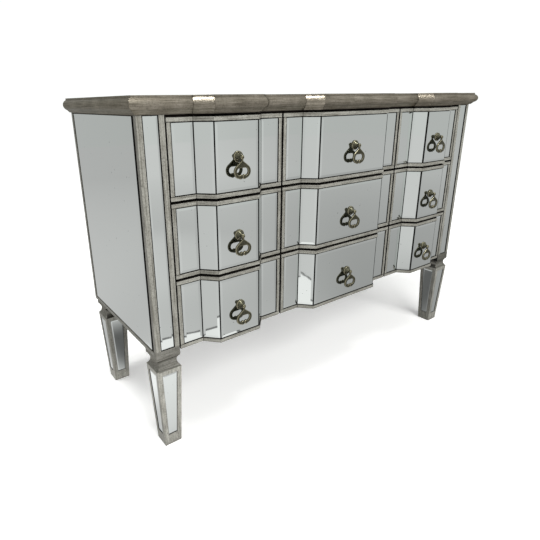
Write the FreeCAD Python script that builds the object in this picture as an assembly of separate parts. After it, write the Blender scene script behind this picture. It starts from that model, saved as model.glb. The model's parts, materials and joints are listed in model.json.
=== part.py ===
import FreeCAD, Part
import math
import os

# Mirrored breakfront chest of nine drawers on four tapered legs.
# Millimetres, +Z up, front towards -Y, origin on the floor under the middle of the chest.
# Inside the script Y is counted from the face of the drawers' flats, and the finished
# pieces are moved by front_y when they are written.

# Drawer fronts
side_front_width = 307.0
centre_front_width = 447.0
front_height = 174.0
front_gap = 5.0
front_board = 16.0
flat_width = 62.5
cant_run = 31.0
projection = 33.5
trim_width = 10.0

# Mirror panes
pane_thickness = 4.0
pane_recess = 1.0
pane_gap = 1.8
bevel_width = 6.0
bevel_depth = 0.6
strip_bevel_width = 3.5
side_bevel_width = 12.0

# Case
body_depth = 430.0
post_width = 62.0
post_gap = 2.5
post_cheek = 12.0
side_channel = 9.0
strip_width = 35.0
strip_foot = 15.0
block_height = 12.0
block_round = 5.0
top_reveal = 5.0
bottom_reveal = 4.0
side_board = 15.0
side_rail_height = 10.0
side_back_strip = 11.0
back_board = 6.0
partition_board = 18.0
rail_height = 21.0
rail_depth = 45.0
top_rail_height = 18.0
rail_clearance = 0.5
runner_width = 15.0
guide_height = 20.0
joint_clearance = 0.3

# Top
top_thickness = 37.0
edge_overhang = 10.5
edge_height = 4.5
nosing_overhang = 19.0
nosing_height = 24.5
nosing_crown_share = 0.47
nosing_foot_overhang = 10.5
skirt_overhang = 4.0
skirt_height = 6.5
top_frame_width = 26.0

# Legs
leg_height = 250.0
foot_width = 45.0
collar_width = 64.0
collar_height = 222.0
neck_width = 48.0
neck_height = 239.0
back_leg_inset = 49.0
leg_pane_low = 31.0
leg_pane_high = 210.0
leg_stile = 12.0
leg_pane_thickness = 3.0
leg_pane_recess = 0.8
leg_pane_gap = 0.6
spigot_diameter = 18.0
spigot_length = 36.0

# Drawer boxes
box_depth = 385.0
box_height = 148.0
box_board = 12.0
box_side_clearance = 2.0
box_run_clearance = 0.3
bottom_board = 6.0
bottom_raise = 9.0
bottom_groove = 6.0

# Pulls: a turned knob that ends in a forked ball, and a cast yoke that hangs in the fork
flange_diameter = 25.0
flange_height = 3.0
flange_round = 1.2
cone_diameter = 21.0
knob_neck_diameter = 8.0
ball_diameter = 10.4
ball_out = 14.8
pin_diameter = 2.2
pin_length = 8.4
pin_drop = 1.6
pin_out = 15.4
pin_clearance = 0.3
fork_clearance = 0.35
fork_back_clearance = 1.05
screw_diameter = 4.0
screw_grip = 8.0
screw_hole_clearance = 0.25
screw_head_diameter = 8.0
screw_head_height = 2.6
glass_hole_clearance = 0.75
ring_thickness = 5.0
ring_width = 45.0
ring_round = 1.7
tongue_width = 3.6
tongue_length = 8.0
apex_drop = 4.4
lobe_diameter = 16.0
lobe_spread = 14.0
lobe_drop = 29.5
scroll_diameter = 10.8
scroll_spread = 10.0
scroll_drop = 41.0
scroll_thickness = 5.6
scroll_slit = 1.2

# Cuts run this far past the faces that they open
overrun = 5.0

# Sizes that follow from the ones above
trim_depth = pane_thickness + pane_recess
cant_turn = math.atan2(projection, cant_run)
mitre_share = math.tan(cant_turn / 2)
half_width = centre_front_width / 2 + front_gap + side_front_width + post_gap + post_width
post_inner = half_width - post_width
panel_inset = trim_depth + side_board
case_inner = half_width - panel_inset
row_pitch = front_height + front_gap
body_bottom = leg_height + block_height
fronts_bottom = body_bottom + bottom_reveal
body_top = fronts_bottom + 3 * row_pitch - front_gap + top_reveal
run_lift = (rail_height - front_gap) / 2
front_back = trim_depth + front_board
case_front = front_back + rail_clearance
rail_back = case_front + rail_depth
case_back = body_depth - back_board
floor_top = fronts_bottom + run_lift
partition_x = (centre_front_width + front_gap) / 2
leg_x = half_width - post_width / 2
front_leg_y = post_width / 2
back_leg_y = body_depth - back_leg_inset
knob_length = ball_out + ball_diameter / 2
front_reach = projection + max(nosing_overhang, knob_length - pane_recess)
front_y = (front_reach - body_depth) / 2

SIDES = (-1, 1)
ROWS = ("bottom", "middle", "top")
COLUMNS = {
    "left": (-(centre_front_width + side_front_width) / 2 - front_gap, side_front_width),
    "centre": (0.0, centre_front_width),
    "right": ((centre_front_width + side_front_width) / 2 + front_gap, side_front_width),
}


def vector(x, y, z):
    return FreeCAD.Vector(x, y, z)


def closed(points):
    return Part.makePolygon(points + points[:1])


def prism(plan, low, high):
    """An upright solid over a plan outline, between two heights."""
    face = Part.Face(closed([vector(x, y, low) for x, y in plan]))
    return face.extrude(vector(0, 0, high - low))


def board(x, y, z):
    """A square-edged board between two values on each axis."""
    low = vector(min(x), min(y), min(z))
    return Part.makeBox(max(x) - low.x, max(y) - low.y, max(z) - low.z, low)


def rod(diameter, start, end):
    run = end - start
    return Part.makeCylinder(diameter / 2, run.Length, start, run)


def save(node, solids):
    """Write one node's solids, moved to the part's own frame."""
    group = Part.makeCompound(solids)
    group.translate(vector(0, front_y, 0))
    group.exportStep("parts/" + node + ".step")


def bay(centre, width, back):
    """Plan points of one projecting bay, set back from the face line."""
    half_bay = width / 2 - flat_width - back * mitre_share
    half_face = half_bay - cant_run
    return [(centre - half_bay, back), (centre - half_face, back - projection),
            (centre + half_face, back - projection), (centre + half_bay, back)]


def front_line(centre, width, back):
    """Plan points across one drawer front: flat, cant, face, cant, flat."""
    ends = [(centre - width / 2, back), (centre + width / 2, back)]
    return ends[:1] + bay(centre, width, back) + ends[1:]


def chest_line(back):
    """Plan points across the whole breakfront, with the two ends at the same set-back."""
    points = [(back - half_width, back)]
    for centre, width in COLUMNS.values():
        points += bay(centre, width, back)
    return points + [(half_width - back, back)]


def bevelled_pane(place, half_widths, heights, bevel, thickness):
    """A glass plate with ground bevels. place(across, up, depth) gives a point of it."""
    loops = []
    for inset, depth in ((0, thickness), (0, bevel_depth), (bevel, 0)):
        low_half, high_half = (half - inset for half in half_widths)
        low, high = heights[0] + inset, heights[1] - inset
        corners = [(-low_half, low), (low_half, low), (high_half, high), (-high_half, high)]
        loops.append(closed([place(across, up, depth) for across, up in corners]))
    return Part.makeLoft(loops, True, True)


def upright(start, end):
    """The placing rule for a pane on an upright face that runs from start to end in plan."""
    middle = vector((start[0] + end[0]) / 2, (start[1] + end[1]) / 2, 0)
    along = vector(end[0] - start[0], end[1] - start[1], 0).normalize()
    inward = vector(-along.y, along.x, 0)
    return lambda across, up, depth: middle + along * across + inward * depth + vector(0, 0, up)


def upright_pane(start, end, heights, bevel, thickness=pane_thickness):
    half = math.dist(start, end) / 2
    return bevelled_pane(upright(start, end), (half, half), heights, bevel, thickness)


def shortened(start, end, start_cut, end_cut):
    """A plan line with a length taken off each end."""
    length = math.dist(start, end)
    step = ((end[0] - start[0]) / length, (end[1] - start[1]) / length)
    return ((start[0] + step[0] * start_cut, start[1] + step[1] * start_cut),
            (end[0] - step[0] * end_cut, end[1] - step[1] * end_cut))


def cove(neck, rim):
    """A hollow moulding from a rim point to a neck point, running straight up at the neck."""
    across, rise = rim[0] - neck[0], rim[1] - neck[1]
    radius = (across ** 2 + rise ** 2) / (2 * across)
    half_turn = math.asin(abs(rise) / radius) / 2
    middle = (neck[0] + radius * (1 - math.cos(half_turn)),
              neck[1] + math.copysign(radius * math.sin(half_turn), rise))
    return [neck, middle, rim]


# Top: a core board, a mitred moulding on the front and both ends, and a mirror let in flush
def moulding_profile(place):
    """The edge moulding's section. place(overhang, height) gives a point of it."""
    nosing_top = top_thickness - edge_height
    nosing_foot = nosing_top - nosing_height
    crown = nosing_top - nosing_height * nosing_crown_share
    straight = [(edge_overhang, nosing_top), (edge_overhang, top_thickness),
                (-top_frame_width + edge_overhang, top_thickness),
                (-top_frame_width + edge_overhang, 0), (0, 0), (0, nosing_foot - skirt_height),
                (skirt_overhang, nosing_foot - skirt_height), (nosing_foot_overhang, nosing_foot)]
    round_points = [(nosing_foot_overhang, nosing_foot), (nosing_overhang, crown),
                    (edge_overhang, nosing_top)]
    edges = Part.makePolygon([place(*point) for point in straight]).Edges
    edges.append(Part.Arc(*[place(*point) for point in round_points]).toShape())
    return Part.Face(Part.Wire(edges))


def moulding_stick(outer, inner):
    """One length of moulding, cut to the mitres at both ends."""
    (outer_start, outer_end), (inner_start, inner_end) = outer, inner
    along = vector(outer_end[0] - outer_start[0], outer_end[1] - outer_start[1], 0).normalize()
    outward = vector(along.y, -along.x, 0)
    base = vector(*outer_start, body_top) - outward * nosing_overhang
    profile = moulding_profile(lambda out, up: base + outward * out + vector(0, 0, up))
    spare = along * (nosing_overhang + top_frame_width)
    profile.translate(-spare)
    run = along * math.dist(outer_start, outer_end) + spare * 2
    cut_plan = [outer_start, outer_end, inner_end, inner_start]
    mitres = prism(cut_plan, body_top - overrun, body_top + top_thickness + overrun)
    return profile.extrude(run).common(mitres).Solids[0]


def top_outline(back):
    """The top's plan outline: the breakfront line, closed by the straight back edge."""
    front = chest_line(back)
    return [(front[0][0], body_depth)] + front + [(front[-1][0], body_depth)]


def make_top():
    core_back = top_frame_width - edge_overhang
    outer = top_outline(-nosing_overhang)
    inner = top_outline(core_back)
    sticks = [moulding_stick(outer[i:i + 2], inner[i:i + 2]) for i in range(len(outer) - 1)]
    core_top = body_top + top_thickness - trim_depth
    save("top_moulding", sticks)
    save("top_board", [prism(inner, body_top, core_top)])

    loops = []
    glass_back = core_back + pane_gap
    for inset, depth in ((0, pane_thickness), (0, bevel_depth), (bevel_width, 0)):
        front = chest_line(glass_back + inset)
        back = body_depth - pane_gap - inset
        plan = front + [(front[-1][0], back), (front[0][0], back)]
        height = core_top + pane_thickness - depth
        loops.append(closed([vector(x, y, height) for x, y in plan]))
    save("top_mirror", [Part.makeLoft(loops, True, True)])


# Case: posts, sides, back, floor, partitions, rails and runners
def spigot_bore(x, y):
    start = vector(x, y, leg_height - overrun)
    end = vector(x, y, leg_height + spigot_length + joint_clearance)
    return rod(spigot_diameter + 2 * joint_clearance, start, end)


def post_block(x, y):
    """The square block at a post's foot, with its lower edges rounded."""
    half = post_width / 2
    block = board((x - half, x + half), (y - half, y + half), (leg_height, body_bottom))
    lower = [edge for edge in block.Edges if edge.BoundBox.ZMax < body_bottom - block_round]
    return block.makeFillet(block_round, lower)


def make_posts():
    fronts, backs, strips = [], [], []
    strip_low = body_bottom + strip_foot
    for side in SIDES:
        x = side * leg_x
        outer, seat, inner = side * half_width, side * case_inner, side * post_inner
        plan = [(outer, 0), (inner, 0), (inner, post_width), (seat, post_width),
                (seat, post_cheek), (outer, post_cheek)]
        front = prism(plan, body_bottom, body_top).fuse(post_block(x, front_leg_y))
        strip_groove = board((x - strip_width / 2, x + strip_width / 2), (-overrun, trim_depth),
                             (strip_low, body_top + overrun))
        front = front.cut(strip_groove).cut(spigot_bore(x, front_leg_y)).removeSplitter()
        fronts.append(front.Solids[0])

        half_strip = strip_width / 2 - pane_gap
        strips.append(upright_pane((x - half_strip, pane_recess), (x + half_strip, pane_recess),
                                   (strip_low + pane_gap, body_top - pane_gap), strip_bevel_width))

        depth = (back_leg_y - post_width / 2, back_leg_y + post_width / 2)
        back = board((seat, inner), depth, (body_bottom, body_top))
        back = back.fuse(post_block(x, back_leg_y)).cut(spigot_bore(x, back_leg_y)).removeSplitter()
        backs.append(back.Solids[0])
    save("front_posts", fronts)
    save("back_posts", backs)
    save("post_mirrors", strips)


def make_sides():
    panels, mirrors = [], []
    heights = (body_bottom, body_top)
    rail_top = body_bottom + side_rail_height
    strip_front = body_depth - side_back_strip
    for side in SIDES:
        face, seat = side * half_width, side * (half_width - trim_depth)
        panels.append(board((seat, side * case_inner), (post_cheek, body_depth), heights))
        panels.append(board((face, seat), (post_cheek, body_depth), (body_bottom, rail_top)))
        panels.append(board((face, seat), (strip_front, body_depth), (rail_top, body_top)))
        glass_x = side * (half_width - pane_recess)
        glass_ends = [(glass_x, post_cheek + side_channel), (glass_x, strip_front - pane_gap)]
        start, end = glass_ends[::side]
        glass_heights = (rail_top + pane_gap, body_top - pane_gap)
        mirrors.append(upright_pane(start, end, glass_heights, side_bevel_width))
    save("side_panels", panels)
    save("side_mirrors", mirrors)


def make_case_boards():
    inside = (-case_inner, case_inner)
    save("back_panel", [board(inside, (case_back, body_depth), (body_bottom, body_top))])

    floor_board = board(inside, (case_front, case_back), (body_bottom, floor_top))
    for side in SIDES:
        width = (side * (post_inner - joint_clearance), side * (case_inner + overrun))
        for y in (front_leg_y, back_leg_y):
            half = post_width / 2 + joint_clearance
            notch = board(width, (y - half, y + half), (body_bottom - overrun, floor_top + overrun))
            floor_board = floor_board.cut(notch)
    save("bottom_panel", floor_board.Solids)

    half = partition_board / 2
    save("partitions", [board((side * partition_x - half, side * partition_x + half),
                              (case_front, case_back), (floor_top, body_top)) for side in SIDES])


def column_openings():
    """The clear width of each column, between posts and partitions."""
    near, far = partition_x - partition_board / 2, partition_x + partition_board / 2
    return {"left": (-post_inner, -far), "centre": (-near, near), "right": (far, post_inner)}


def make_rails_and_runners():
    rails, runners = [], []
    run_tops = [floor_top + level * row_pitch for level in range(len(ROWS))]
    for low_x, high_x in column_openings().values():
        depth = (case_front, rail_back)
        rails.append(board((low_x, high_x), depth, (body_top - top_rail_height, body_top)))
        for run_top in run_tops[1:]:
            heights = (run_top - rail_height, run_top)
            rails.append(board((low_x, high_x), depth, heights))
            for x in ((low_x, low_x + runner_width), (high_x - runner_width, high_x)):
                runners.append(board(x, (rail_back, case_back), heights))
    guide_run = (post_width, back_leg_y - post_width / 2)
    for side in SIDES:
        for run_top in run_tops:
            width = (side * post_inner, side * (post_inner + runner_width))
            low = max(floor_top, run_top - rail_height)
            runners.append(board(width, guide_run, (low, run_top + guide_height)))
    save("drawer_rails", rails)
    save("drawer_runners", runners)


# Legs: square and tapered, with a hollow neck under the post block and a pane on each face
def leg_placing(across, up, depth):
    """A point on a leg's front face: across it, up its slope, and into the wood."""
    lean = math.atan2((collar_width - foot_width) / 2, collar_height)
    return vector(across,
                  -foot_width / 2 - up * math.sin(lean) + depth * math.cos(lean),
                  up * math.cos(lean) + depth * math.sin(lean))


def leg_face_half(height):
    share = height / collar_height
    return (foot_width + (collar_width - foot_width) * share) / 2


def leg_body():
    """The leg's outline, run through in both directions, so that it is square at every height."""
    collar = (collar_width / 2, collar_height)
    neck = (neck_width / 2, neck_height)
    rim = (post_width / 2 - block_round / 2, leg_height)
    spread = []
    for side in SIDES:
        point = lambda spot: vector(side * spot[0], 0, spot[1])
        spread.append(Part.makeLine(point((foot_width / 2, 0)), point(collar)))
        for curve in (cove(neck, collar), cove(neck, rim)):
            spread.append(Part.Arc(*[point(spot) for spot in curve]).toShape())
    for half, height in ((foot_width / 2, 0), rim):
        spread.append(Part.makeLine(vector(-half, 0, height), vector(half, 0, height)))
    outline = Part.Face(Part.Wire(Part.__sortEdges__(spread)))
    outline.translate(vector(0, -collar_width, 0))
    through = outline.extrude(vector(0, 2 * collar_width, 0))
    across = through.copy()
    across.rotate(vector(0, 0, 0), vector(0, 0, 1), 90)
    return through.common(across)


def make_legs():
    halves = [leg_face_half(height) - leg_stile for height in (leg_pane_low, leg_pane_high)]
    seat_depth = leg_pane_thickness + leg_pane_recess
    seat_loops = []
    for depth in (-overrun, seat_depth):
        low_half, high_half = halves
        corners = [(-low_half, leg_pane_low), (low_half, leg_pane_low),
                   (high_half, leg_pane_high), (-high_half, leg_pane_high)]
        seat_loops.append(closed([leg_placing(across, up, depth) for across, up in corners]))
    seat = Part.makeLoft(seat_loops, True, True)
    pane = bevelled_pane(lambda across, up, depth: leg_placing(across, up, depth + leg_pane_recess),
                         [half - leg_pane_gap for half in halves],
                         (leg_pane_low + leg_pane_gap, leg_pane_high - leg_pane_gap),
                         strip_bevel_width, leg_pane_thickness)
    leg = leg_body().fuse(rod(spigot_diameter, vector(0, 0, neck_height),
                              vector(0, 0, leg_height + spigot_length)))
    panes = []
    for quarter in range(4):
        for piece in (seat, pane):
            piece.rotate(vector(0, 0, 0), vector(0, 0, 1), 90)
        leg = leg.cut(seat)
        panes.append(pane.copy())
    leg = leg.removeSplitter().Solids[0]

    legs, mirrors = [], []
    for side in SIDES:
        for y in (front_leg_y, back_leg_y):
            place = vector(side * leg_x, y, 0)
            legs.append(leg.translated(place))
            mirrors += [glass.translated(place) for glass in panes]
    save("legs", legs)
    save("leg_mirrors", mirrors)


# Drawers
def drawer_front(centre, width, low, knob_height):
    """The front board, its trapezoid breakfront block and the trim strips around the panes."""
    high = low + front_height
    ends = (centre - width / 2, centre + width / 2)
    face = board(ends, (trim_depth, front_back), (low, high))
    block = prism(bay(centre, width, trim_depth), low, high)
    hole = rod(screw_diameter + 2 * screw_hole_clearance,
               vector(centre, -projection - overrun, knob_height),
               vector(centre, front_back + overrun, knob_height))
    solids = [face.cut(hole).Solids[0], block.cut(hole).Solids[0]]
    outer, inner = front_line(centre, width, 0), front_line(centre, width, trim_depth)
    for strip_low in (low, high - trim_width):
        for i in range(len(outer) - 1):
            plan = [outer[i], outer[i + 1], inner[i + 1], inner[i]]
            solids.append(prism(plan, strip_low, strip_low + trim_width))
    for end, inward in ((ends[0], trim_width), (ends[1], -trim_width)):
        heights = (low + trim_width, high - trim_width)
        solids.append(board((end, end + inward), (0, trim_depth), heights))
    return solids


def drawer_panes(centre, width, low, knob_height):
    """Five bevelled panes: flat, cant, face, cant, flat. The face pane is drilled for the knob."""
    points = front_line(centre, width, pane_recess)
    heights = (low + trim_width + pane_gap, low + front_height - trim_width - pane_gap)
    at_trim = trim_width + pane_gap
    at_hollow = pane_gap
    at_edge = pane_gap + pane_thickness * mitre_share
    cuts = [(at_trim, at_hollow), (at_hollow, at_edge), (at_edge, at_edge),
            (at_edge, at_hollow), (at_hollow, at_trim)]
    panes = []
    for i, (start_cut, end_cut) in enumerate(cuts):
        start, end = shortened(points[i], points[i + 1], start_cut, end_cut)
        panes.append(upright_pane(start, end, heights, bevel_width))
    hole = rod(screw_diameter + 2 * glass_hole_clearance,
               vector(centre, -projection - overrun, knob_height),
               vector(centre, trim_depth, knob_height))
    middle = len(panes) // 2
    panes[middle] = panes[middle].cut(hole).Solids[0]
    return panes


def drawer_box(opening, low):
    """Two sides and a back with a bottom let into grooves, open at the front to the front board."""
    left, right = opening[0] + box_side_clearance, opening[1] - box_side_clearance
    rear = front_back + box_depth
    run = low + run_lift + box_run_clearance
    heights = (run, run + box_height)
    in_left, in_right = left + box_board, right - box_board
    floor_low = run + bottom_raise
    floor_heights = (floor_low, floor_low + bottom_board)
    bottom = board((in_left - bottom_groove, in_right + bottom_groove),
                   (front_back, rear - box_board + bottom_groove), floor_heights)
    walls = [board((left, in_left), (front_back, rear), heights),
             board((in_right, right), (front_back, rear), heights),
             board((in_left, in_right), (rear - box_board, rear), heights)]
    return [wall.cut(bottom).Solids[0] for wall in walls] + [bottom]


# Pulls, made around the knob's axis and seat, then copied to each drawer
def knob_profile():
    """Half of the knob's turned section: radius across, distance out from the glass up."""
    flange, cone = flange_diameter / 2, cone_diameter / 2
    neck, ball = knob_neck_diameter / 2, ball_diameter / 2
    bend = flange_round * math.sqrt(0.5)
    rim_centre = (flange - flange_round, flange_height - flange_round)
    rim = [(flange, rim_centre[1]), (rim_centre[0] + bend, rim_centre[1] + bend),
           (rim_centre[0], flange_height)]
    neck_out = ball_out - math.sqrt(ball ** 2 - neck ** 2)
    round_end = [(neck, neck_out), (ball, ball_out), (0, knob_length)]
    point = lambda spot: vector(spot[0], -spot[1], 0)
    lines = [((0, knob_length), (0, 0)), ((0, 0), (flange, 0)), ((flange, 0), rim[0]),
             (rim[-1], (cone, flange_height)), ((cone, flange_height), round_end[0])]
    edges = [Part.makeLine(point(start), point(end)) for start, end in lines]
    edges += [Part.Arc(*[point(spot) for spot in curve]).toShape() for curve in (rim, round_end)]
    return Part.Face(Part.Wire(Part.__sortEdges__(edges)))


def make_knob():
    """The turned knob, its hinge pin and its screw, about the point where its axis meets the glass."""
    knob = knob_profile().revolve(vector(0, 0, 0), vector(0, 1, 0), 360)
    half_slot = tongue_width / 2 + fork_clearance
    slot_back = pin_out - ring_thickness / 2 - fork_back_clearance
    roof = ring_thickness / 2 + fork_clearance - pin_drop
    slot = board((-half_slot, half_slot), (-slot_back, -knob_length - overrun),
                 (roof, -ball_diameter / 2 - overrun))
    pin = rod(pin_diameter, vector(-pin_length / 2, -pin_out, -pin_drop),
              vector(pin_length / 2, -pin_out, -pin_drop))
    glass_to_back = projection - pane_recess + front_back
    shank = rod(screw_diameter, vector(0, -screw_grip, 0), vector(0, glass_to_back, 0))
    head = rod(screw_head_diameter, vector(0, glass_to_back, 0),
               vector(0, glass_to_back + screw_head_height, 0))
    knob = knob.cut(slot).cut(pin).cut(shank)
    screw = shank.fuse(head).removeSplitter()
    return [knob.Solids[0], pin, screw.Solids[0]]


def disc(diameter, x, drop, thickness):
    """A round plate across the ring, centred at x and at a drop below the pin."""
    return rod(diameter, vector(x, -thickness / 2, -drop), vector(x, thickness / 2, -drop))


def ring_shoulder():
    """Where the ring's straight side, down from its apex, runs into the round of one arm."""
    radius = (ring_width - lobe_spread) / 2
    across, up = -lobe_spread / 2, lobe_drop - apex_drop
    turn = math.atan2(up, across) - math.acos(radius / math.hypot(across, up))
    return lobe_spread / 2 + radius * math.cos(turn), radius * math.sin(turn) - lobe_drop


def make_ring():
    """The ring, about its hinge pin: a yoke with a tongue, two round arms and a slit between its scrolls."""
    half, reach = ring_thickness / 2, lobe_spread / 2
    x, z = ring_shoulder()
    foot = -lobe_drop - ring_width / 2 + reach
    shield = [(0, -apex_drop), (x, z), (reach, foot), (-reach, foot), (-x, z)]
    yoke = Part.Face(closed([vector(across, -half, up) for across, up in shield]))
    yoke = yoke.extrude(vector(0, ring_thickness, 0))
    yoke = yoke.fuse([disc(ring_width - lobe_spread, side * reach, lobe_drop, ring_thickness)
                      for side in SIDES])
    hole = board((-reach, reach), (-ring_thickness, ring_thickness),
                 (-lobe_drop - lobe_diameter / 2, -lobe_drop + lobe_diameter / 2))
    hole = hole.fuse([disc(lobe_diameter, side * reach, lobe_drop, 2 * ring_thickness) for side in SIDES])
    yoke = yoke.removeSplitter().cut(hole.removeSplitter())
    rims = [edge for edge in yoke.Edges if edge.BoundBox.YLength < half]
    pieces = []
    for side in SIDES:
        scroll = disc(scroll_diameter, side * scroll_spread / 2, scroll_drop, scroll_thickness)
        pieces.append(scroll.makeFillet(ring_round, [edge for edge in scroll.Edges if edge.isClosed()]))
    pieces.append(board((-tongue_width / 2, tongue_width / 2), (-half, half), (0, -tongue_length)))
    pieces.append(rod(ring_thickness, vector(-tongue_width / 2, 0, 0), vector(tongue_width / 2, 0, 0)))
    slit = board((-scroll_slit / 2, scroll_slit / 2), (-ring_thickness, ring_thickness),
                 (-lobe_drop, -scroll_drop - scroll_diameter))
    bore = rod(pin_diameter + 2 * pin_clearance, vector(-tongue_width, 0, 0), vector(tongue_width, 0, 0))
    ring = yoke.makeFillet(ring_round, rims).fuse(pieces).cut([slit, bore])
    return ring.removeSplitter().Solids[0]


def make_drawers():
    knob_pieces, ring = make_knob(), make_ring()
    openings = column_openings()
    for level, row in enumerate(ROWS):
        low = fronts_bottom + level * row_pitch
        knob_height = low + front_height / 2
        for column, (centre, width) in COLUMNS.items():
            name = row + "_" + column
            knob_seat = vector(centre, pane_recess - projection, knob_height)
            pin_axis = knob_seat - vector(0, pin_out, pin_drop)
            save(name + "_drawer_box", drawer_box(openings[column], low))
            save(name + "_drawer_front", drawer_front(centre, width, low, knob_height))
            save(name + "_drawer_mirrors", drawer_panes(centre, width, low, knob_height))
            save(name + "_knob", [piece.translated(knob_seat) for piece in knob_pieces])
            save(name + "_ring", [ring.translated(pin_axis)])


os.makedirs("parts", exist_ok=True)
make_top()
make_posts()
make_sides()
make_case_boards()
make_rails_and_runners()
make_legs()
make_drawers()
print("overall", 2 * (half_width + nosing_overhang), front_reach + body_depth, body_top + top_thickness)
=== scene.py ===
# %% [markdown]
# A mirrored breakfront chest of nine drawers, dressed in Blender.
# The solids come from the CAD frame and stay where they are. This lesson gives them their
# finishes, and models again the pieces whose edges and bevels catch the eye: the panes, the
# trims, the moulded top, the posts, the legs and the brass pulls.

# %% Load the frame
import bpy
import bmesh
import json
import math
from bmesh.types import BMEdge, BMFace, BMVert
from mathutils import Euler, Matrix, Quaternion, Vector


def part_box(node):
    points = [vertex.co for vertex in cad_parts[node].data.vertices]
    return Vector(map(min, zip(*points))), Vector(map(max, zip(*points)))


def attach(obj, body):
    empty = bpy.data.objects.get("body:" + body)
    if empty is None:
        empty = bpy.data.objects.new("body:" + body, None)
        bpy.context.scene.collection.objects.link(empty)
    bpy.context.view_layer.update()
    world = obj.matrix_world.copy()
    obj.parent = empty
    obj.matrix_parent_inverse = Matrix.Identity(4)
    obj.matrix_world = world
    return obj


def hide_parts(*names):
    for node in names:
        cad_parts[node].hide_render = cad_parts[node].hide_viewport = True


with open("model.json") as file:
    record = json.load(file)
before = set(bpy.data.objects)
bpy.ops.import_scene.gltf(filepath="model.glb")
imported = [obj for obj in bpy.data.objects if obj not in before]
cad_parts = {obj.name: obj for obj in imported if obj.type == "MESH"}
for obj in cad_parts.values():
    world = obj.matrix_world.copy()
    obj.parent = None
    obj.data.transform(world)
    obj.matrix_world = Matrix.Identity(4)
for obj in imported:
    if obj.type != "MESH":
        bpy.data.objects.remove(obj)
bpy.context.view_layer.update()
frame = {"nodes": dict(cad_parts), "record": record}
MM = 0.001
scene = bpy.context.scene
scene.view_settings.view_transform = "Standard"

# %% [markdown]
# The camera stands to the left of the chest, a little under the level of its top, and looks
# down at the drawers. A camera's turn can be typed as three angles, but a line of sight is
# easier to reason about: one heading, one tilt, and a small roll about that line. The lens is
# shifted because the chest doesn't sit in the middle of the picture.

# %% Camera
PICTURE = 540
FOCAL_PIXELS = 444.52
PRINCIPAL_PIXEL = (238.87, 255.48)
SENSOR = 36.0
heading, tilt, roll = 0.6107, 0.3348, -0.0165
STAND_LEFT, STAND_OFF, EYE_HEIGHT = 0.955, 0.8482, 0.8269
front_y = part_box("front_posts")[0].y
camera_data = bpy.data.cameras.new("photo_camera")
camera_data.sensor_width = SENSOR
camera_data.lens = FOCAL_PIXELS / PICTURE * SENSOR
camera_data.shift_x = 0.5 - PRINCIPAL_PIXEL[0] / PICTURE
camera_data.shift_y = PRINCIPAL_PIXEL[1] / PICTURE - 0.5
camera = bpy.data.objects.new("photo_camera", camera_data)
scene.collection.objects.link(camera)
level_share = math.cos(tilt)
sight = Vector((math.sin(heading) * level_share, math.cos(heading) * level_share, -math.sin(tilt)))
camera.rotation_mode = "QUATERNION"
camera.rotation_quaternion = sight.to_track_quat("-Z", "Y") @ Quaternion((0, 0, 1), roll)
camera.location = (-STAND_LEFT, front_y - STAND_OFF, EYE_HEIGHT)
scene.camera = camera
print("lens", round(camera_data.lens, 2), "mm")

# %% [markdown]
# Every material below is a small graph of nodes. One helper adds a node, sets its options,
# joins its inputs and hands back its output, so that each line of a material reads as one
# step. Colours are written as the hex values that a screen shows, and one function turns them
# into the linear light that the renderer counts in.

# %% Node helper and colours
def pick(sockets, name):
    return next(socket for socket in sockets if socket.enabled and name in (None, socket.name))


def add(tree, kind, inputs=None, output=None, **settings):
    made = tree.nodes.new(kind)
    for name, value in settings.items():
        setattr(made, name, value)
    for name, source in (inputs or {}).items():
        socket = made.inputs[name] if isinstance(name, int) else pick(made.inputs, name)
        if isinstance(source, bpy.types.NodeSocket):
            tree.links.new(source, socket)
        else:
            socket.default_value = source
    return pick(made.outputs, output) if made.outputs else made


def linear(hex_colour):
    shares = [int(hex_colour[i:i + 2], 16) / 255 for i in (1, 3, 5)]
    return [s / 12.92 if s <= 0.04045 else ((s + 0.055) / 1.055) ** 2.4 for s in shares] + [1.0]


def per(size_mm):
    """Turns the size of a grain into a texture scale, for coordinates in metres."""
    return 1 / (size_mm * MM)


def start_material(name):
    material = bpy.data.materials.new(name)
    material.use_nodes = True
    material.node_tree.nodes.clear()
    place = add(material.node_tree, "ShaderNodeTexCoord", output="Object")
    return material, material.node_tree, place


def shade(tree, inputs):
    surface = add(tree, "ShaderNodeBsdfPrincipled", inputs)
    add(tree, "ShaderNodeOutputMaterial", {"Surface": surface})


print("pale grey in linear light", [round(s, 3) for s in linear("#c0c0c0")])

# %% [markdown]
# Silvered glass is float glass with a metal coat behind it. To the eye it is a mirror with a
# faint green cast. Modelling the glass and the coat as two layers costs much light bouncing
# and looks the same, so one metallic surface stands for both. Wiping leaves soft smears, which
# show as a small change in roughness, and a few dark specks are left. The sawn edges and the
# painted backs of the panes are nearly black, and they draw the fine dark lines between the
# panes.

# %% Mirror
def silvered_glass():
    material, tree, place = start_material("silvered_glass")
    smear = add(tree, "ShaderNodeTexNoise", {"Vector": place, "Scale": per(90), "Detail": 3.0})
    dust = add(tree, "ShaderNodeTexNoise", {"Vector": place, "Scale": per(7), "Detail": 1.0})
    rough = add(tree, "ShaderNodeMapRange", {"Value": smear, "To Min": 0.01, "To Max": 0.05})
    speck = add(tree, "ShaderNodeMapRange", {"Value": dust, "From Min": 0.78, "From Max": 0.82,
                                             "To Max": 0.6})
    tone = add(tree, "ShaderNodeMix", {"Factor": speck, "A": linear("#e4e8e5"), "B": linear("#5a5f5d")},
               data_type="RGBA")
    shade(tree, {"Base Color": tone, "Metallic": 1.0, "Roughness": rough})
    return material


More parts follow.
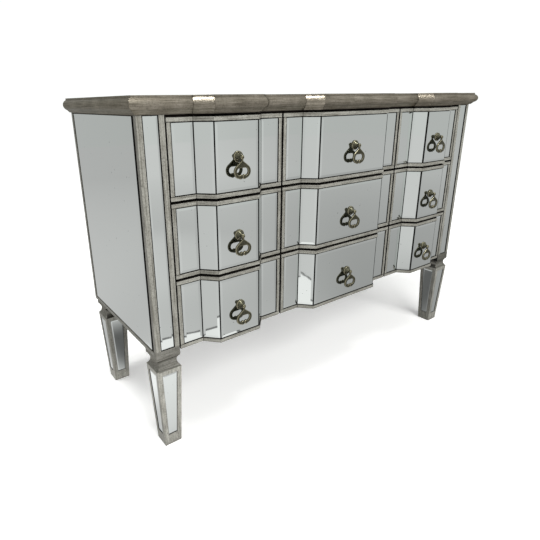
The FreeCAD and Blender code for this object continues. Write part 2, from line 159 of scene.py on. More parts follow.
def cut_glass_edge():
    material, tree, place = start_material("cut_glass_edge")
    grind = add(tree, "ShaderNodeTexNoise", {"Vector": place, "Scale": per(4), "Detail": 2.0})
    tone = add(tree, "ShaderNodeMix", {"Factor": grind, "A": linear("#0a0c0b"), "B": linear("#191d1b")},
               data_type="RGBA")
    shade(tree, {"Base Color": tone, "Roughness": 0.5})
    return material


mirror, glass_edge = silvered_glass(), cut_glass_edge()
print("made", mirror.name, glass_edge.name)

# %% [markdown]
# The wood is covered in champagne-coloured silver leaf, brushed on in strokes along each
# length, sealed, then rubbed back by hand. So it is a warm grey half metal with streaks along
# the piece, cloudy patches, small dark flecks where the leaf broke, and dirt with painted shade
# in the corners and beside other parts.
# Fine strokes also spread a highlight across themselves, as on brushed steel. The streaks and
# the spread must follow each length, so one recipe is made for each direction, with its
# pattern turned. Real strokes are finer than a millimetre, and are drawn wider here so that
# they show. The leaf comes in four tones: silver on the trims and posts, pale on the legs, grey
# on the blocks and necks, and a warm one on the moulded top. The last two are rubbed down to
# more metal and less sealer.

# %% Silver leaf
projection = front_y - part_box("top_centre_drawer_front")[0].y
CANT_RUN = 31 * MM
cant_turn = math.atan2(projection, CANT_RUN)
STROKE_TURNS = {"along_width": (0, 0, 0), "along_depth": (0, 0, math.pi / 2), "upright": (0, math.pi / 2, 0),
                "along_left_cant": (0, 0, -cant_turn), "along_right_cant": (0, 0, cant_turn)}
STROKE_SIZE = [70 * MM, 2.5 * MM, 2.5 * MM]
# Bare ground under broken leaf, the dark of dirt and painted shade, and a grey specular tint.
BARE_GROUND, DIRT_AND_SHADE, EDGE_TINT = linear("#3b372f"), linear("#3b362e"), linear("#b9b9b3")


def silver_leaf(name, turn, tones, metal, coat, rough_range):
    light, mid, dark = (linear(tone) for tone in tones)
    material, tree, place = start_material(name)
    stretched = add(tree, "ShaderNodeMapping", {"Vector": place, "Rotation": turn, "Scale": STROKE_SIZE},
                    vector_type="TEXTURE")
    stroke = add(tree, "ShaderNodeTexNoise", {"Vector": stretched, "Scale": 1.0, "Detail": 4.0,
                                              "Roughness": 0.65})
    cloud = add(tree, "ShaderNodeTexNoise", {"Vector": place, "Scale": per(45), "Detail": 5.0,
                                             "Roughness": 0.6})
    fleck = add(tree, "ShaderNodeTexNoise", {"Vector": place, "Scale": per(4), "Detail": 3.0,
                                             "Roughness": 0.7})
    # Occlusion darkens corners and spots beside other parts: dirt and painted shade.
    corner = add(tree, "ShaderNodeAmbientOcclusion", {"Distance": 7 * MM}, output="AO", samples=8)
    cloudy = add(tree, "ShaderNodeMapRange", {"Value": cloud, "From Min": 0.35, "From Max": 0.65})
    streaky = add(tree, "ShaderNodeMapRange", {"Value": stroke, "From Min": 0.42, "From Max": 0.72,
                                               "To Max": 0.9})
    broken = add(tree, "ShaderNodeMapRange", {"Value": fleck, "From Min": 0.46, "From Max": 0.78,
                                              "To Max": 0.6})
    dirt_and_painted_shade = add(tree, "ShaderNodeMapRange", {"Value": corner, "From Min": 0.35, "From Max": 0.95,
                                             "To Min": 0.85, "To Max": 0.0})
    laid = add(tree, "ShaderNodeMix", {"Factor": cloudy, "A": mid, "B": light}, data_type="RGBA")
    brushed = add(tree, "ShaderNodeMix", {"Factor": streaky, "A": laid, "B": dark}, data_type="RGBA")
    flecked = add(tree, "ShaderNodeMix", {"Factor": broken, "A": brushed, "B": BARE_GROUND}, data_type="RGBA")
    aged_and_shaded = add(tree, "ShaderNodeMix", {"Factor": dirt_and_painted_shade, "A": flecked, "B": DIRT_AND_SHADE}, data_type="RGBA")
    rough = add(tree, "ShaderNodeMapRange", {"Value": stroke, "From Min": 0.3, "From Max": 0.7,
                                             "To Min": rough_range[0], "To Max": rough_range[1]})
    relief = add(tree, "ShaderNodeBump", {"Height": stroke, "Strength": 0.3, "Distance": 0.2 * MM})
    along = Euler(turn).to_matrix() @ Vector((1, 0, 0))
    tangent = add(tree, "ShaderNodeCombineXYZ", dict(zip("XYZ", along)))
    shade(tree, {"Base Color": aged_and_shaded, "Metallic": metal, "Roughness": rough, "Normal": relief,
                 "Tangent": tangent, "Anisotropic": 0.9, "Anisotropic Rotation": 0.25,
                 "Specular Tint": EDGE_TINT, "Coat Weight": coat, "Coat Roughness": 0.12})
    return material


# A tone has a light, a middle and a dark colour. A finish has its share of metal, its share
# of clear coat and its range of roughness.
SILVER, WARM = ("#c4c3b9", "#adaba1", "#6e6b60"), ("#b6ad9e", "#9c9485", "#635c4e")
PALE, GREY = ("#d3d2c8", "#bbb9af", "#78756a"), ("#aeaca3", "#95938b", "#5e5c54")
SEALED, RUBBED = (0.55, 0.4, (0.32, 0.46)), (0.9, 0.15, (0.28, 0.4))
leaf = {way: silver_leaf("silver_leaf_" + way, turn, SILVER, *SEALED) for way, turn in STROKE_TURNS.items()}
rubbed = {way: silver_leaf("rubbed_leaf_" + way, turn, WARM, *RUBBED) for way, turn in STROKE_TURNS.items()}
pale_leaf = silver_leaf("pale_leaf_upright", STROKE_TURNS["upright"], PALE, *SEALED)
grey_leaf = silver_leaf("grey_leaf_along_width", STROKE_TURNS["along_width"], GREY, *RUBBED)
print("made", len(leaf), "directions of silver leaf and", len(rubbed), "of rubbed leaf")

# %% [markdown]
# Antique brass is brass darkened with acid and then rubbed bright where the wheel and later the
# hand reach it. The hollows keep an almost black patina, which an occlusion node finds. The
# sides and backs are painted darker and what faces the front and upwards is painted lighter,
# painted shade and painted light found by the surface's own direction. The sharp ridges are
# rubbed bright and also carry a painted highlight, found by the surface's bend. A fine noise
# breaks up the line between the tones.

# %% Brass
def antique_brass():
    material, tree, place = start_material("antique_brass")
    corner = add(tree, "ShaderNodeAmbientOcclusion", {"Distance": 5 * MM}, output="AO", samples=6,
                 only_local=True)
    mottle = add(tree, "ShaderNodeTexNoise", {"Vector": place, "Scale": per(3), "Detail": 3.0})
    open_share = add(tree, "ShaderNodeMath", {0: corner, 1: mottle}, operation="MULTIPLY")
    facing = add(tree, "ShaderNodeTexCoord", output="Normal")
    back, up = (add(tree, "ShaderNodeSeparateXYZ", {"Vector": facing}, output=axis) for axis in "YZ")
    # Painted light on what faces the front, painted shade on the sides and backs.
    painted_front_light = add(tree, "ShaderNodeMapRange", {"Value": back, "From Min": 0.1, "From Max": -0.6,
                                                "To Min": 0.2})
    # Painted light on what faces upwards.
    painted_top_light = add(tree, "ShaderNodeMapRange", {"Value": up, "From Min": -0.3, "From Max": 0.5, "To Min": 0.3,
                                               "To Max": painted_front_light})
    # Patina in the hollows, mixed with the painted light above.
    patina_and_painted_light = add(tree, "ShaderNodeMapRange", {"Value": open_share, "From Min": 0.22, "From Max": 0.52,
                                            "To Max": painted_top_light})
    body = add(tree, "ShaderNodeMix", {"Factor": patina_and_painted_light, "A": linear("#1e1e19"), "B": linear("#7a7864")},
               data_type="RGBA")
    bend = add(tree, "ShaderNodeNewGeometry", output="Pointiness")
    # Ridges rubbed bright, with a painted highlight where they face the front.
    polished_crest_and_highlight = add(tree, "ShaderNodeMapRange", {"Value": bend, "From Min": 0.504, "From Max": 0.522,
                                             "To Max": painted_front_light})
    tone = add(tree, "ShaderNodeMix", {"Factor": polished_crest_and_highlight, "A": body, "B": linear("#d8cfae")}, data_type="RGBA")
    rough = add(tree, "ShaderNodeMapRange", {"Value": patina_and_painted_light, "To Min": 0.5, "To Max": 0.2})
    shade(tree, {"Base Color": tone, "Metallic": 1.0, "Roughness": rough})
    return material


brass = antique_brass()
print("made", brass.name)

# %% [markdown]
# Behind the panes the chest is plain wood. Growth rings of a sawn board show as long wavy
# lines along its length, so a noise that is stretched along the board bends a set of bands.
# The drawer boxes are pale and planed, the case inside is stained brown, and the edges of the
# drawer fronts are painted near black, a painted shade that keeps the gaps between the drawers
# dark.

# %% Plain woods
def sawn_wood(name, grain_mm, light, dark, rough):
    """Wood with its grain's size along X, Y and Z in millimetres."""
    material, tree, place = start_material(name)
    stretched = add(tree, "ShaderNodeMapping", {"Vector": place, "Scale": [per(size) for size in grain_mm]})
    wander = add(tree, "ShaderNodeTexNoise", {"Vector": stretched, "Scale": 1.0, "Detail": 3.0})
    rings = add(tree, "ShaderNodeTexWave", {"Vector": stretched, "Scale": 0.35, "Distortion": 6.0,
                                            "Detail": 3.0}, output="Fac", bands_direction="DIAGONAL")
    figure = add(tree, "ShaderNodeMix", {"Factor": 0.3, "A": wander, "B": rings})
    tone = add(tree, "ShaderNodeMix", {"Factor": figure, "A": linear(light), "B": linear(dark)},
               data_type="RGBA")
    relief = add(tree, "ShaderNodeBump", {"Height": wander, "Strength": 0.3, "Distance": 0.3 * MM})
    shade(tree, {"Base Color": tone, "Roughness": rough, "Normal": relief})
    return material


drawer_wood = sawn_wood("planed_pale_wood", (12, 160, 9), "#c7ab85", "#a5865f", 0.5)
case_board = sawn_wood("stained_board", (160, 14, 12), "#403329", "#291f18", 0.65)
# Near-black wood: painted shade for edges and gaps where shade falls.
painted_shade_black = sawn_wood("painted_shade_black_edge", (160, 14, 12), "#17130f", "#0d0b09", 0.8)
finishes = {"mirror_glass": mirror, "silvered_wood": leaf["along_width"], "antique_brass": brass,
            "carcass_board": case_board, "drawer_wood": drawer_wood}
for part in frame["record"]["subparts"]:
    for slot in frame["nodes"][part["node"]].material_slots:
        slot.material = finishes[part["material_slot"]]

# %% [markdown]
# Two helpers do most of the joinery. A stick is drawn as its outline in plan and pulled up to
# its height. Real sticks never have knife edges, so their edges are bevelled a little, and
# where two bevelled sticks meet at a mitre the joint shows as a fine line. The second helper
# turns a finished mesh into an object that rides on a body of the frame. Smooth shading would
# bend the light on the flats beside each round edge, so weighted normals keep them flat.
# Faces that turn away from the front by more than a small share count as edges, and further
# down they are painted near black as painted shade. Each piece lists its main finish first, then
# its second and its dark one.

# %% Stick and piece helpers
SOFT_EDGE = 0.7 * MM
SMOOTH_ANGLE = math.radians(38)
EDGE_SHARE, FRONT_SHARE = 0.3, 0.5
MAIN, SECOND, DARK, LEFT_CANT, RIGHT_CANT = range(5)


def only(kind, parts):
    return [part for part in parts if isinstance(part, kind)]


def soften(bm, edges, width=SOFT_EDGE, segments=2):
    bmesh.ops.bevel(bm, geom=edges, offset=width, affect="EDGES", segments=segments, profile=0.5,
                    material=-1)


def stick(bm, plan, low, high, material=MAIN, upright_only=False):
    base = bm.faces.new([bm.verts.new((x, y, low)) for x, y in plan])
    pulled = bmesh.ops.extrude_face_region(bm, geom=[base])["geom"]
    top = only(BMVert, pulled)
    bmesh.ops.translate(bm, verts=top, vec=(0, 0, high - low))
    faces = {face for vert in top for face in vert.link_faces} | {base}
    for face in faces:
        face.material_index = material
    edges = {edge for face in faces for edge in face.edges}
    if upright_only:
        edges = {edge for edge in edges if edge.verts[0].co.xy == edge.verts[1].co.xy}
    soften(bm, list(edges))


def rectangle(x, y):
    return [(x[0], y[0]), (x[1], y[0]), (x[1], y[1]), (x[0], y[1])]


def finish(name, bm, materials, body, nodes, flat=False):
    bmesh.ops.recalc_face_normals(bm, faces=bm.faces)
    mesh = bpy.data.meshes.new(name)
    bm.to_mesh(mesh)
    bm.free()
    for material in materials:
        mesh.materials.append(material)
    made = bpy.data.objects.new(name, mesh)
    scene.collection.objects.link(made)
    if not flat:
        mesh.shade_smooth()
        mesh.set_sharp_from_angle(angle=SMOOTH_ANGLE)
        made.modifiers.new("keep_flats_flat", "WEIGHTED_NORMAL").keep_sharp = True
    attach(made, body)
    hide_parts(*nodes)
    return made


print("edges softened by", SOFT_EDGE / MM, "mm")

# %% [markdown]
# A bevelled mirror is a plate whose front edge is ground to a slope, a few millimetres wide.
# The slope turns the reflection, which is the bright line round each pane. A face is inset and
# its middle lifted, and then the outer edge is pulled back to give the plate its thickness.
# The walls and the back take the second material, because a cut edge of glass looks dark.

# %% Ground pane
PANE, RECESS, GAP = 4 * MM, 1 * MM, 1.8 * MM
GROUND, STRIP_GROUND, SIDE_GROUND, GROUND_DROP = 6 * MM, 3.5 * MM, 12 * MM, 0.6 * MM


def ground_pane(bm, corners, ground=GROUND, thickness=PANE):
    face = bm.faces.new([bm.verts.new(corner) for corner in corners])
    face.normal_update()
    outward = face.normal.copy()
    bmesh.ops.translate(bm, verts=list(face.verts), vec=-outward * GROUND_DROP)
    rim = bmesh.ops.inset_individual(bm, faces=[face], thickness=ground, depth=GROUND_DROP,
                                     use_even_offset=True)
    border = [edge for strip in rim["faces"] for edge in strip.edges if edge.is_boundary]
    walls = bmesh.ops.extrude_edge_only(bm, edges=border)["geom"]
    bmesh.ops.translate(bm, verts=only(BMVert, walls), vec=-outward * (thickness - GROUND_DROP))
    open_edges = [edge for edge in only(BMEdge, walls) if edge.is_boundary]
    plate_back = bmesh.ops.holes_fill(bm, edges=open_edges, sides=0)["faces"]
    for dark in only(BMFace, walls) + plate_back:
        dark.material_index = SECOND


def upright_corners(start, end, low, high):
    return [Vector((*spot, z)) for spot, z in ((start, low), (end, low), (end, high), (start, high))]


def finish_glass(name, bm, body, node):
    return finish(name, bm, [mirror, glass_edge], body, [node], flat=True)


print("panes are ground over", GROUND / MM, "mm")

# %% [markdown]
# The breakfront. Each drawer's front runs flat, slopes out, runs along its face, slopes back
# and ends flat. Every layer of the front, from the wood to the glass, follows that line at its
# own depth. When a bent line is moved back, each bend shifts sideways by the tangent of half
# the bend, so that the layers meet in true mitres.

# %% Breakfront line
FLAT = 62.5 * MM
mitre = math.tan(cant_turn / 2)
ROWS, COLUMNS = ("bottom", "middle", "top"), ("left", "centre", "right")
DRAWERS = {row + "_" + column: column for row in ROWS for column in COLUMNS}


def bay(left, right, back):
    near, far = FLAT + back * mitre, FLAT + back * mitre + CANT_RUN
    flat_y, face_y = front_y + back, front_y + back - projection
    return [(left + near, flat_y), (left + far, face_y), (right - far, face_y), (right - near, flat_y)]


def front_line(left, right, back):
    return [(left, front_y + back)] + bay(left, right, back) + [(right, front_y + back)]


def shortened(start, end, start_cut, end_cut):
    start, end = Vector(start), Vector(end)
    along = (end - start).normalized()
    return start + along * start_cut, end - along * end_cut


print("cant", round(math.degrees(cant_turn), 1), "degrees, projection", round(projection / MM, 1), "mm")

# %% [markdown]
# One drawer front: a board, the block that carries the bay, and a frame of thin trims round
# the panes. The trims above and below are mitred at each bend. They could be one bent strip,
# but separate sticks with softened edges show the joints, as the hand-made frame does. Their
# edges are painted near black, as dark joints and as painted shade in the gaps, which draws the
# dark line round the panes. At a bend, square-cut panes leave a wedge of dark glass edge
# between them. The panes were set by hand, so that line is wider on some bends than on others.

# %% Drawer fronts
TRIM, TRIM_DEPTH, HOLLOW_GAP = 10 * MM, 5 * MM, 1.3 * MM
LEFT_BEND_GAPS = {"left": 0.3 * MM, "centre": 0.7 * MM, "right": GAP}


def drawer_front(name):
    low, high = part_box(name + "_drawer_front")
    left, right = low.x, high.x
    bm = bmesh.new()
    stick(bm, rectangle((left, right), (front_y + TRIM_DEPTH, high.y)), low.z, high.z, DARK)
    stick(bm, bay(left, right, TRIM_DEPTH), low.z, high.z, DARK)
    outer, inner = front_line(left, right, 0), front_line(left, right, TRIM_DEPTH)
    for bottom in (low.z, high.z - TRIM):
        for i, material in enumerate((MAIN, LEFT_CANT, MAIN, RIGHT_CANT, MAIN)):
            stick(bm, [outer[i], outer[i + 1], inner[i + 1], inner[i]], bottom, bottom + TRIM, material)
    for x in ((left, left + TRIM), (right - TRIM, right)):
        stick(bm, rectangle(x, (front_y, front_y + TRIM_DEPTH)), low.z + TRIM, high.z - TRIM, SECOND)
    bmesh.ops.recalc_face_normals(bm, faces=bm.faces)
    # Faces that turn away from the front, and the upright edges of the end sticks, are painted near black:
    # painted shade in the gaps and round the panes.
    for face in bm.faces:
        upright_edge = face.material_index == SECOND and abs(face.normal.x) > EDGE_SHARE
        if face.normal.y > -FRONT_SHARE or abs(face.normal.z) > EDGE_SHARE or upright_edge:
            face.material_index = DARK
    materials = [leaf["along_width"], leaf["upright"], painted_shade_black, leaf["along_left_cant"],
                 leaf["along_right_cant"]]
    return finish(name + "_framed_front", bm, materials, name + "_drawer",
                  [name + "_drawer_front"])


def drawer_panes(name, column):
    low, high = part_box(name + "_drawer_front")
    points = front_line(low.x, high.x, RECESS)
    at_trim, wedge = TRIM + GAP, PANE * mitre
    at_left, at_right = LEFT_BEND_GAPS[column] + wedge, GAP + wedge
    start_cuts = at_trim, HOLLOW_GAP, at_left, at_right, HOLLOW_GAP
    end_cuts = HOLLOW_GAP, at_left, at_right, HOLLOW_GAP, at_trim
    bm = bmesh.new()
    for ends in zip(points, points[1:], start_cuts, end_cuts):
        ground_pane(bm, upright_corners(*shortened(*ends), low.z + at_trim, high.z - at_trim))
    return finish_glass(name + "_bevelled_panes", bm, name + "_drawer", name + "_drawer_mirrors")


fronts = [drawer_front(name) for name in DRAWERS]
panes = [drawer_panes(name, column) for name, column in DRAWERS.items()]
print("drawer fronts", len(fronts), "of", len(fronts[0].data.polygons), "faces each, panes", len(panes))

# %% [markdown]
# The moulded top edge is one section, run along the front and both ends and mitred at every
# bend. Each length is drawn as that section, pulled past both of its ends, and cut back by
# two upright planes, as a mitre saw does. The round nosing comes from spinning a single
# vertex about its centre. Only the hard edges are softened, which also marks each mitre.

# %% Moulded top
EDGE_OUT, EDGE_HEIGHT = 10.5 * MM, 4.5 * MM
NOSING_OUT, NOSING_HEIGHT, NOSING_FOOT, CROWN_SHARE = 19 * MM, 24.5 * MM, 10.5 * MM, 0.47
SKIRT_OUT, SKIRT_HEIGHT, FRAME_WIDTH = 4 * MM, 6.5 * MM, 26 * MM
NOSING_STEPS = 20
body_top, top_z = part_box("front_posts")[1].z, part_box("top_moulding")[1].z
half_width, back_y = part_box("front_posts")[1].x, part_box("side_panels")[1].y


def chest_line(back):
    points = [(back - half_width, back_y), (back - half_width, front_y + back)]
    for column in COLUMNS:
        low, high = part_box("top_" + column + "_drawer_front")
        points += bay(low.x, high.x, back)
    points += [(half_width - back, front_y + back), (half_width - back, back_y)]
    return [Vector(spot) for spot in points]


def circle_centre(a, b, c):
    """The centre of the circle through three points of a section."""
    chord, other = b - a, c - a
    turn = 2 * chord.cross(other)
    return a + Vector((other.y * chord.length_squared - chord.y * other.length_squared,
                       chord.x * other.length_squared - other.x * chord.length_squared)) / turn


def moulding_section(bm):
    """The section in the X-Z plane, with X as the overhang and Z as the height above the body."""
    height = top_z - body_top
    nosing_top = height - EDGE_HEIGHT
    nosing_low = nosing_top - NOSING_HEIGHT
    skirt_low, inner = nosing_low - SKIRT_HEIGHT, EDGE_OUT - FRAME_WIDTH
    foot = Vector((NOSING_FOOT, nosing_low))
    crown = Vector((NOSING_OUT, nosing_top - NOSING_HEIGHT * CROWN_SHARE))
    lip = Vector((EDGE_OUT, nosing_top))
    centre = circle_centre(foot, crown, lip)
    sweep = (foot - centre).angle_signed(crown - centre) + (crown - centre).angle_signed(lip - centre)
    first = bm.verts.new((foot.x, 0, foot.y))
    bmesh.ops.spin(bm, geom=[first], cent=(centre.x, 0, centre.y), axis=(0, 1, 0), angle=sweep,
                   steps=NOSING_STEPS, use_merge=False, use_duplicate=False)
    bm.verts.ensure_lookup_table()
    square = [(EDGE_OUT, height), (inner, height), (inner, 0), (0, 0), (0, skirt_low), (SKIRT_OUT, skirt_low)]
    rest = [bm.verts.new((out, 0, up)) for out, up in square]
    return bm.faces.new(list(bm.verts)[:NOSING_STEPS + 1] + rest)


def moulding_length(before, start, end, after):
    """One length, with X along its overhang, cut at the planes halfway to the next lengths."""
    along = (end - start).normalized()
    outward = Vector((along.y, -along.x))
    bm = bmesh.new()
    section = moulding_section(bm)
    pulled = bmesh.ops.extrude_face_region(bm, geom=[section])["geom"]
    spare = NOSING_OUT + FRAME_WIDTH
    bmesh.ops.translate(bm, verts=only(BMVert, pulled), vec=(0, (end - start).length + 2 * spare, 0))
    bmesh.ops.translate(bm, verts=bm.verts, vec=(0, -spare, 0))
    placed = Matrix(((outward.x, along.x, 0, start.x), (outward.y, along.y, 0, start.y),
                     (0, 0, 1, body_top), (0, 0, 0, 1)))
    bmesh.ops.transform(bm, verts=bm.verts, matrix=placed)
    for spot, neighbour, away in ((start, before, -1), (end, after, 1)):
        other = along if neighbour is None else ((neighbour - spot) * away).normalized()
        plane = ((along + other) * away).to_3d()
        everything = list(bm.verts) + list(bm.edges) + list(bm.faces)
        cut = bmesh.ops.bisect_plane(bm, geom=everything, plane_co=spot.to_3d(), plane_no=plane,
                                     clear_outer=True)["geom_cut"]
        bmesh.ops.holes_fill(bm, edges=only(BMEdge, cut), sides=0)
    bmesh.ops.recalc_face_normals(bm, faces=bm.faces)
    soften(bm, [edge for edge in bm.edges if edge.calc_face_angle(0) > SMOOTH_ANGLE])
    ways = [Euler(turn).to_matrix() @ Vector((1, 0, 0)) for turn in STROKE_TURNS.values()]
    nearest = max(range(len(ways)), key=lambda i: abs(ways[i].xy.dot(along)))
    for face in bm.faces:
        face.material_index = nearest
    return bm


def moulded_top():
    line = chest_line(0)
    whole = bmesh.new()
    for i in range(len(line) - 1):
        before = line[i - 1] if i else None
        after = line[i + 2] if i + 2 < len(line) else None
        length = moulding_length(before, line[i], line[i + 1], after)
        carrier = bpy.data.meshes.new("moulding_length")
        length.to_mesh(carrier)
        length.free()
        whole.from_mesh(carrier)
        bpy.data.meshes.remove(carrier)
    return finish("moulded_top_edge", whole, list(rubbed.values()), "carcass",
                  ["top_moulding"])


moulding = moulded_top()
print("moulding", len(moulding.data.polygons), "faces")

# %% [markdown]
# The fixed mirrors: a large plate on each side, a narrow strip in each front post, and the
# plate let into the top, which follows the breakfront. They are the same ground panes as on
# the drawers. The side plates stop a little short of the front post, and the gap shows as a
# dark channel.

# %% Case mirrors
STRIP_WIDTH, CHANNEL = 35 * MM, 4 * MM


def case_mirrors():
    low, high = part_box("side_mirrors")
    bm = bmesh.new()
    near_y = low.y + CHANNEL
    ground_pane(bm, upright_corners((low.x, high.y), (low.x, near_y), low.z, high.z), SIDE_GROUND)
    ground_pane(bm, upright_corners((high.x, near_y), (high.x, high.y), low.z, high.z), SIDE_GROUND)
    sides = finish_glass("side_bevelled_mirrors", bm, "carcass", "side_mirrors")

    low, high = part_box("post_mirrors")
    width = STRIP_WIDTH - 2 * GAP
    bm = bmesh.new()
    for x in (low.x, high.x - width):
        ground_pane(bm, upright_corners((x, low.y), (x + width, low.y), low.z, high.z), STRIP_GROUND)
    strips = finish_glass("post_mirror_strips", bm, "carcass", "post_mirrors")

    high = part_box("top_mirror")[1]
    line = chest_line(FRAME_WIDTH - EDGE_OUT + GAP)
    line[0].y = line[-1].y = high.y
    bm = bmesh.new()
    ground_pane(bm, [Vector((*spot, high.z)) for spot in line])
    top = finish_glass("top_bevelled_mirror", bm, "carcass", "top_mirror")
    return sides, strips, top


print("case mirrors", [len(piece.data.polygons) for piece in case_mirrors()])

# %% [markdown]
# The frame of the case. A front post is an upright with a groove for its mirror strip and a
# cheek that turns the corner. It stands on a block with a rounded lower edge. The inside of
# the groove and the faces beside it that turn sideways are painted near black, a painted shade
# where the groove and the cheek fall in shadow. The sides are a dark board, a rail under the
# mirror and a strip behind it.

# %% Posts and sides
POST, STRIP_FOOT, CHEEK, BLOCK_ROUND, BLOCK_SEGMENTS = 62 * MM, 15 * MM, 12 * MM, 5 * MM, 5
RAIL_HEIGHT, BACK_STRIP, SIDE_BOARD = 10 * MM, 11 * MM, 15 * MM
body_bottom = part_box("side_panels")[0].z
block_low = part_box("front_posts")[0].z
post_inner, post_middle = half_width - POST, half_width - POST / 2
seat_x, side_x = half_width - TRIM_DEPTH - SIDE_BOARD, half_width - TRIM_DEPTH


def rounded_block(bm, x, y):
    made = bmesh.ops.create_cube(bm, size=1.0)["verts"]
    bmesh.ops.scale(bm, verts=made, vec=(x[1] - x[0], y[1] - y[0], body_bottom - block_low))
    bmesh.ops.translate(bm, verts=made, vec=(sum(x) / 2, sum(y) / 2, (body_bottom + block_low) / 2))
    for face in {face for vert in made for face in vert.link_faces}:
        face.material_index = SECOND
    edges = {edge for vert in made for edge in vert.link_edges}
    lower = [edge for edge in edges if all(abs(vert.co.z - block_low) < GAP for vert in edge.verts)]
    soften(bm, lower, BLOCK_ROUND, BLOCK_SEGMENTS)


def mirrored_x(plan, side):
    return [(side * x, y) for x, y in plan][::side]


def posts():
    groove = [post_middle + half for half in (-STRIP_WIDTH / 2, STRIP_WIDTH / 2)]
    y0, y1, y2, y3 = (front_y + depth for depth in (0, TRIM_DEPTH, CHEEK, POST))
    corner = [(half_width, y2), (seat_x, y2), (seat_x, y3), (post_inner, y3), (post_inner, y0)]
    grooved = corner + [(groove[0], y0), (groove[0], y1), (groove[1], y1), (groove[1], y0), (half_width, y0)]
    low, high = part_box("back_posts")
    front, rear = bmesh.new(), bmesh.new()
    for side in (-1, 1):
        plain = mirrored_x(corner + [(half_width, y0)], side)
        stick(front, plain, body_bottom, body_bottom + STRIP_FOOT, SECOND, upright_only=True)
        stick(front, mirrored_x(grooved, side), body_bottom + STRIP_FOOT, body_top, upright_only=True)
        block_x, rear_x = (sorted((side * post_inner, side * outer)) for outer in (half_width, seat_x))
        rounded_block(front, block_x, (y0, y3))
        stick(rear, rectangle(rear_x, (low.y, high.y)), body_bottom, body_top)
        rounded_block(rear, block_x, (low.y, high.y))
    bmesh.ops.recalc_face_normals(front, faces=front.faces)
    # Faces inside the groove and faces that turn sideways are painted near black, a painted shade.
    for face in front.faces:
        spot = face.calc_center_median()
        if abs(spot.x) < half_width - GAP and (abs(face.normal.x) > EDGE_SHARE or spot.y > y0 + GAP):
            face.material_index = DARK
    materials = [leaf["upright"], grey_leaf, painted_shade_black]
    return (finish("grooved_front_posts", front, materials, "carcass", ["front_posts"]),
            finish("blocked_back_posts", rear, materials, "carcass", ["back_posts"]))


def sides():
    bm = bmesh.new()
    run = (front_y + CHEEK, back_y)
    for side in (-1, 1):
        face = sorted((side * side_x, side * half_width))
        stick(bm, rectangle(sorted((side * seat_x, side * side_x)), run), body_bottom, body_top, DARK)
        stick(bm, rectangle(face, run), body_bottom, body_bottom + RAIL_HEIGHT, MAIN)
        strip = rectangle(face, (back_y - BACK_STRIP, back_y))
        stick(bm, strip, body_bottom + RAIL_HEIGHT, body_top, SECOND)
    materials = [leaf["along_depth"], leaf["upright"], case_board]
    return finish("framed_sides", bm, materials, "carcass", ["side_panels"])


print("posts and sides", [len(piece.data.polygons) for piece in (*posts(), sides())])

# %% [markdown]
# The legs are square and taper downwards, with a hollow neck under the block. A square is
# pulled up in steps and scaled at each, so the hollow is a row of small steps along an arc.
# Then each face is inset by the width of its stile and sunk, to make the seat of its pane.

# %% Legs
LEG_HEIGHT, COLLAR_Z, NECK_Z = 250 * MM, 222 * MM, 239 * MM
FOOT, COLLAR, NECK, RIM = 45 * MM, 64 * MM, 48 * MM, 57 * MM
STILE, LEG_PANE_LOW, LEG_PANE_HIGH = 12 * MM, 31 * MM, 210 * MM
LEG_PANE, LEG_RECESS, LEG_GAP, LEG_SOFT_EDGE = 3 * MM, 0.8 * MM, 0.6 * MM, 0.8 * MM
BACK_FOOT_IN = 49 * MM
HOLLOW_STEPS = 6
lean = math.atan2((COLLAR - FOOT) / 2, COLLAR_Z)
leg_feet = [(x, y) for x in (-post_middle, post_middle) for y in (front_y + POST / 2, back_y - BACK_FOOT_IN)]


def hollow(neck, rim):
    """Half widths and heights along an arc that runs straight up at the neck, from neck to rim."""
    across, rise = rim[0] - neck[0], rim[1] - neck[1]
    radius = (across ** 2 + rise ** 2) / (2 * across)
    whole = math.asin(rise / radius)
    turns = [whole * i / HOLLOW_STEPS for i in range(HOLLOW_STEPS + 1)]
    return [(neck[0] + radius * (1 - math.cos(turn)), neck[1] + radius * math.sin(turn)) for turn in turns]


def leg_width(height):
    return FOOT + (COLLAR - FOOT) * height / COLLAR_Z


